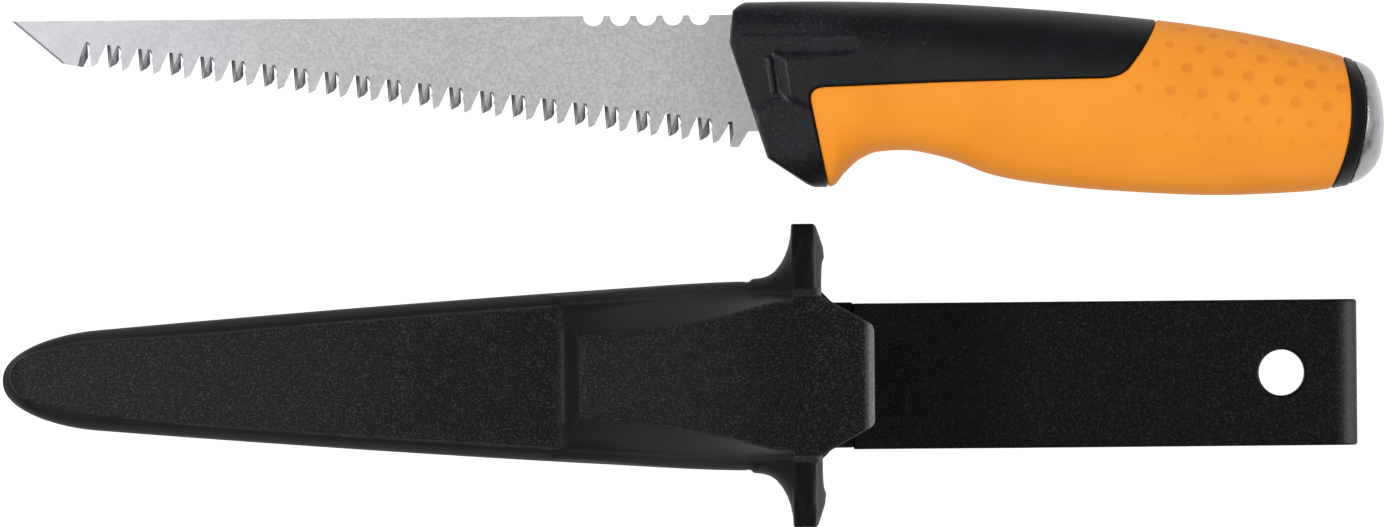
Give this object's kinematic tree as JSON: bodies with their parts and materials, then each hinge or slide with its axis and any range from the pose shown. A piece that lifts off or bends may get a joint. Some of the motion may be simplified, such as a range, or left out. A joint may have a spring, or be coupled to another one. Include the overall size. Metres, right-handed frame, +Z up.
{
  "type": "drywall saw",
  "caption": "Pointed drywall jab saw with a two-tone grip and steel striking cap, lying beside its moulded belt sheath with a folded strap loop.",
  "frame": {"origin": "bottom centre of the whole set's box, on the surface it lies on", "axes": "+X along the handle towards the striking cap, +Y from the sheath towards the saw, +Z up from the surface"},
  "size_m": [0.2832, 0.1074, 0.0279],
  "materials": {
    "blade_steel": "fine blasted, satin",
    "cap_steel": "satin turned",
    "fixing_steel": "zinc plated",
    "core_plastic": "fine grained, satin",
    "grip_rubber": "soft matt, dimpled",
    "sheath_plastic": "coarse moulded grain"
  },
  "bodies": {
    "saw": {"blade": "blade_steel", "core_left": "core_plastic", "core_right": "core_plastic", "tang_pin_1": "fixing_steel", "tang_pin_2": "fixing_steel", "tang_pin_3": "fixing_steel", "grip_sleeve": "grip_rubber", "butt_ring": "core_plastic", "strike_cap": "cap_steel", "cap_stud": "fixing_steel", "cap_nut": "fixing_steel"},
    "sheath": {"sheath_front": "sheath_plastic", "sheath_back": "sheath_plastic"},
    "strap": {"belt_strap": "sheath_plastic"}
  },
  "joints": [
    {"name": "sheath_draw", "type": "slide", "parent": "saw", "child": "sheath", "axis": [-1, 0, 0], "range_m": [0, 0.17]},
    {"name": "strap_hinge", "type": "hinge", "parent": "sheath", "child": "strap", "pos_m": [0.0326, -0.02274, 0.0044], "axis": [0, -1, 0], "range_deg": [0, 60]}
  ]
}
